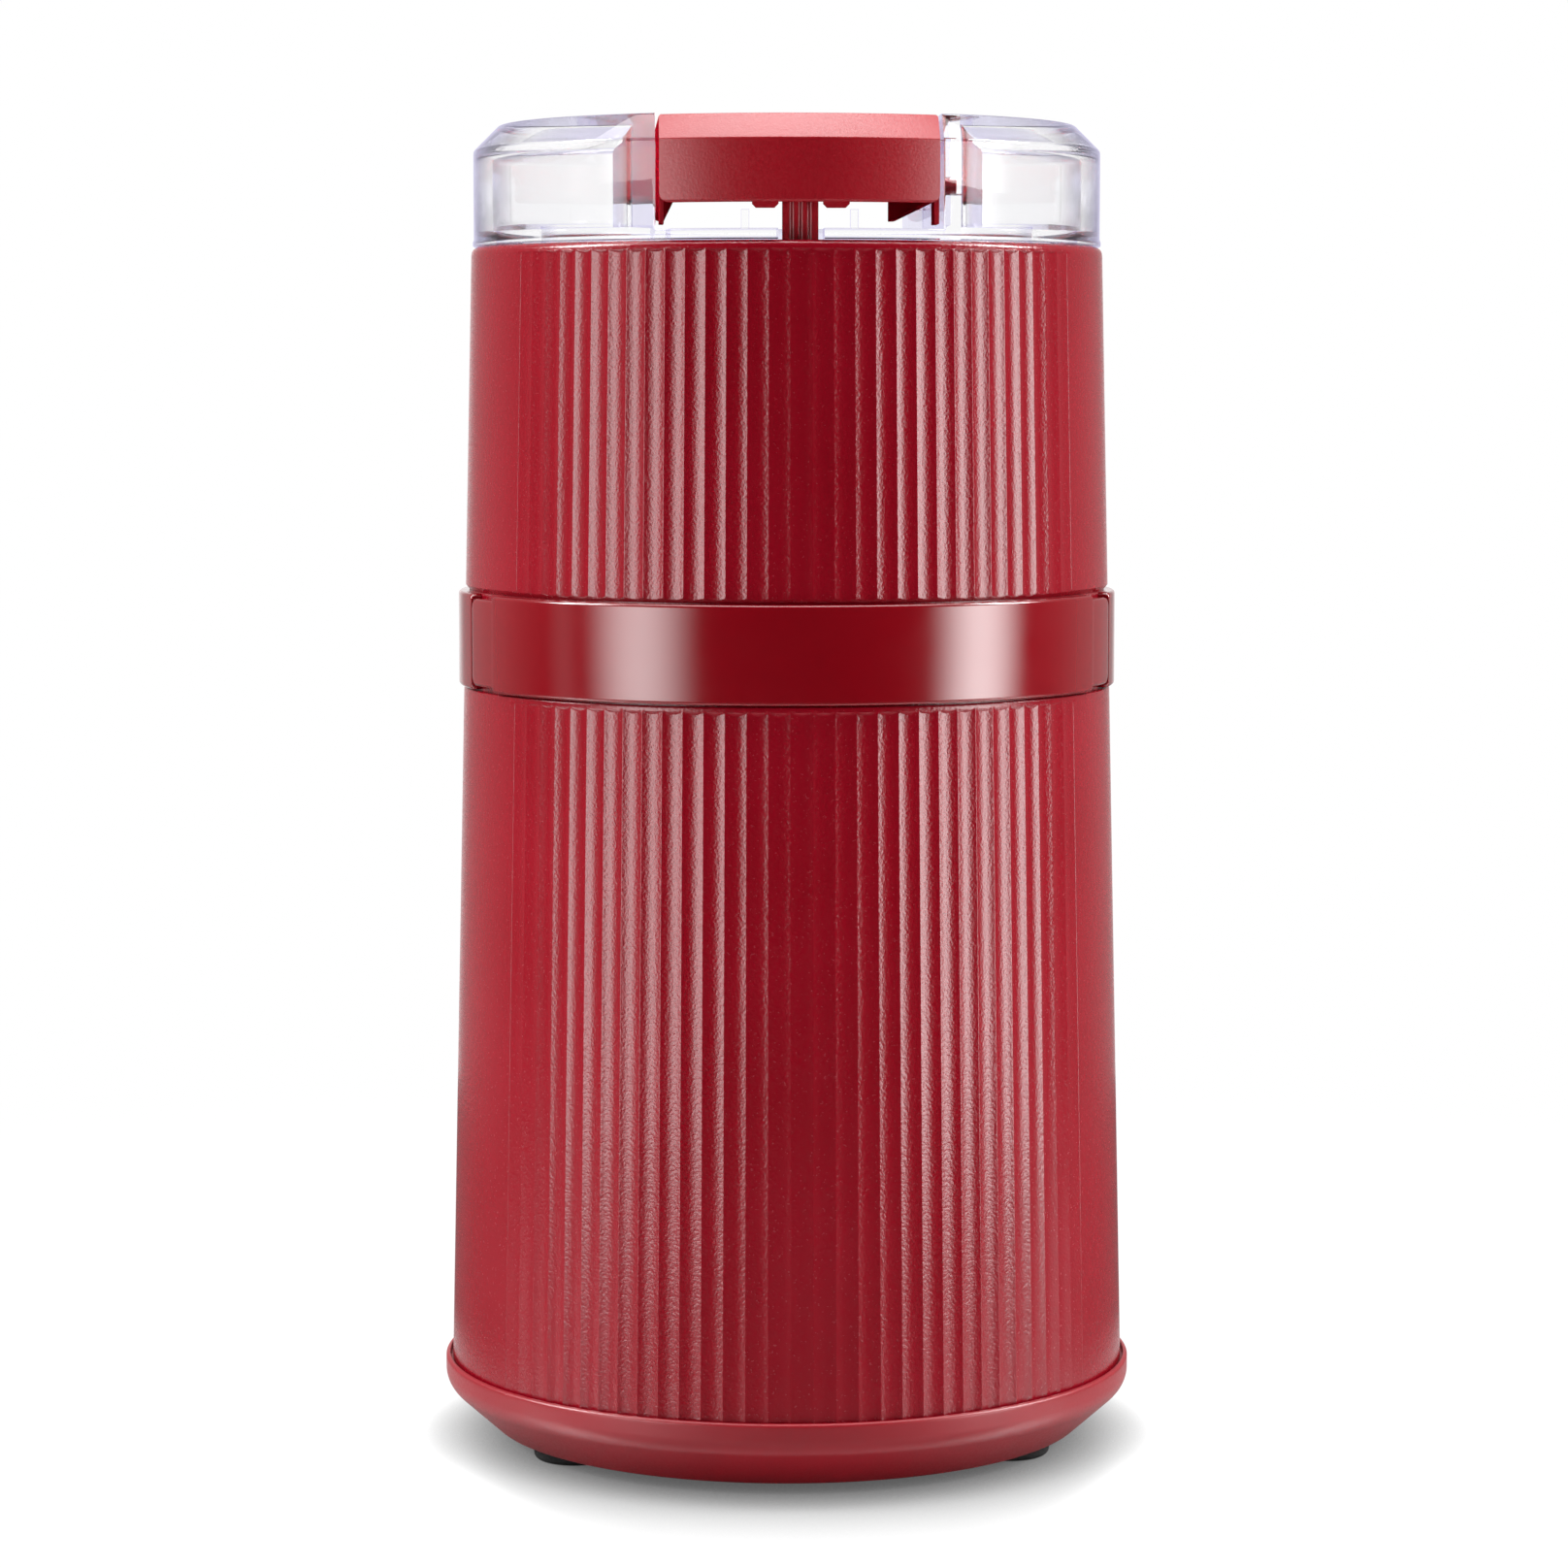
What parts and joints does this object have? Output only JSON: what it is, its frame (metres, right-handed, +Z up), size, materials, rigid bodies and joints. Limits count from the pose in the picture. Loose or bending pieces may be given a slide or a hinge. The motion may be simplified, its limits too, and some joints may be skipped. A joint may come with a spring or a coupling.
{
  "type": "electric spice grinder",
  "caption": "Fluted red cylindrical spice grinder with a glossy waist band, a flared base on rubber feet and a clear lift-off lid crossed by a press bar that works the switch.",
  "frame": {"origin": "middle of the plane that the rubber feet stand on, under the vertical axis of the motor shaft and bowl", "axes": "+Z up along the motor shaft; the front, with the switch rod and the long side of the waist band's front plate, faces -Y; +X is to the right of someone who faces the front"},
  "size_m": [0.0962, 0.0962, 0.1826],
  "materials": {
    "housing_red": "moulded, fine spark-eroded grain",
    "base_red": "moulded, satin",
    "band_red": "moulded, high gloss",
    "bar_red": "moulded, fine matt grain",
    "rod_red": "moulded, satin",
    "lid_clear": "clear moulded, polished",
    "foot_rubber": "moulded, matt",
    "gland_rubber": "moulded, matt",
    "gasket_silicone": "translucent silicone",
    "bowl_steel": "drawn stainless, brushed round",
    "blade_steel": "stamped stainless, ground edge",
    "shaft_steel": "turned",
    "screw_steel": "zinc plated",
    "nut_brass": "turned",
    "bush_bronze": "sintered and oiled",
    "bracket_alloy": "die cast",
    "core_iron": "stacked laminations",
    "coil_copper": "enamelled copper",
    "brush_carbon": "pressed carbon",
    "switch_black": "moulded",
    "fan_nylon": "moulded nylon"
  },
  "bodies": {
    "housing": {"base_cover": "base_red", "feet": "foot_rubber", "base_screws": "screw_steel", "lower_housing": "housing_red", "cord_gland": "gland_rubber", "waist_band_front": "band_red", "waist_band_rear": "band_red", "upper_housing": "housing_red", "housing_screws": "screw_steel", "bowl": "bowl_steel", "bowl_gasket": "gasket_silicone", "shaft_seal": "gland_rubber", "lower_bracket": "bracket_alloy", "upper_bracket": "bracket_alloy", "lower_bush": "bush_bronze", "upper_bush": "bush_bronze", "bracket_screws": "screw_steel", "bracket_dampers": "gland_rubber", "motor_cushion": "gland_rubber", "stator_core": "core_iron", "field_coils": "coil_copper", "motor_spacers": "screw_steel", "motor_screws": "screw_steel", "motor_nuts": "screw_steel", "brush_holders": "bush_bronze", "carbon_brushes": "brush_carbon", "brush_springs": "screw_steel", "switch_body": "switch_black", "switch_screws": "screw_steel"},
    "rotor": {"motor_shaft": "shaft_steel", "rotor_core": "core_iron", "rotor_windings": "coil_copper", "commutator": "coil_copper", "cooling_fan": "fan_nylon", "blade_hub": "shaft_steel", "blade": "blade_steel", "blade_nut": "nut_brass"},
    "lid": {"lid_shell": "lid_clear"},
    "press_bar": {"press_bar": "bar_red"},
    "switch_plunger": {"switch_plunger": "rod_red", "switch_pushrod": "fan_nylon", "plunger_spring": "screw_steel"}
  },
  "joints": [
    {"name": "rotor_spin", "type": "hinge", "parent": "housing", "child": "rotor", "pos_m": [0, 0, 0.06], "axis": [0, 0, 1], "continuous": true},
    {"name": "lid_lift", "type": "slide", "parent": "housing", "child": "lid", "axis": [0, 0, 1], "range_m": [0, 0.06]},
    {"name": "bar_press", "type": "hinge", "parent": "lid", "child": "press_bar", "pos_m": [0, 0.034, 0.174], "axis": [1, 0, 0], "range_deg": [0, 1.7], "stiffness_Nm_per_rad": 12, "springref_deg": -0.57},
    {"name": "plunger_slide", "type": "slide", "parent": "housing", "child": "switch_plunger", "axis": [0, 0, -1], "range_m": [0, 0.0023], "deforming": ["plunger_spring"]}
  ],
  "couplings": [
    {"joint": "plunger_slide", "follows": "bar_press", "m_per_rad": 0.0741}
  ]
}
